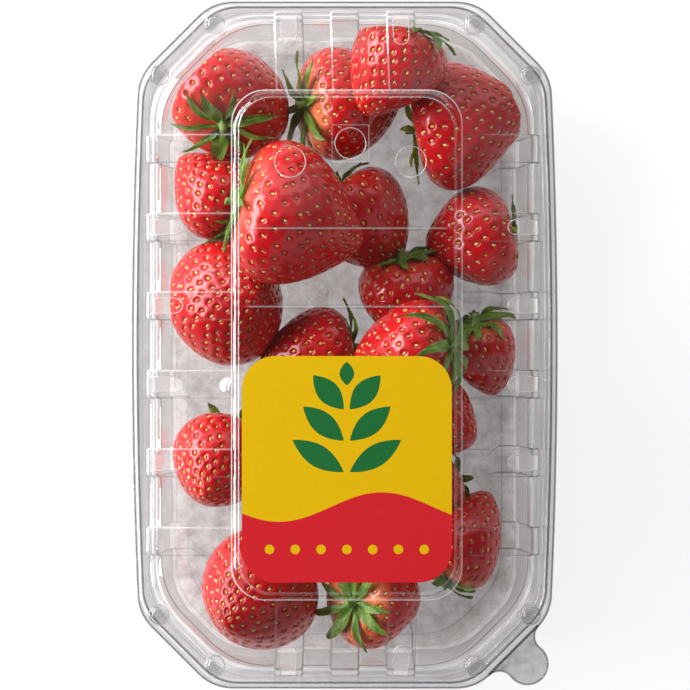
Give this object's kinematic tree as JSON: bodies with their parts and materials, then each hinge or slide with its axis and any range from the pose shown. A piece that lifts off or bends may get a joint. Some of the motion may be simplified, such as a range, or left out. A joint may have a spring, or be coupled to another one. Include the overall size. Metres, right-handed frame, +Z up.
{
  "type": "punnet of strawberries",
  "caption": "Clear plastic punnet of strawberries, shut with a clipped-on ribbed and vented lid that has a raised panel, a paper label and a pull tab.",
  "frame": {"origin": "middle of the punnet's underside, on the surface that it rests on", "axes": "+Z up; +Y along the length of the punnet, away from the end with the pull tab; +X across it, so that the tab is at the corner of +X and -Y"},
  "size_m": [0.1162, 0.1878, 0.0562],
  "materials": {
    "clear_plastic": "clear, glossy",
    "label_paper": "semi-gloss coated",
    "strawberry": "moist skin with a soft shine"
  },
  "bodies": {
    "root": {"tray": "clear_plastic", "lid": "clear_plastic", "label": "label_paper", "strawberries": "strawberry"}
  },
  "joints": []
}
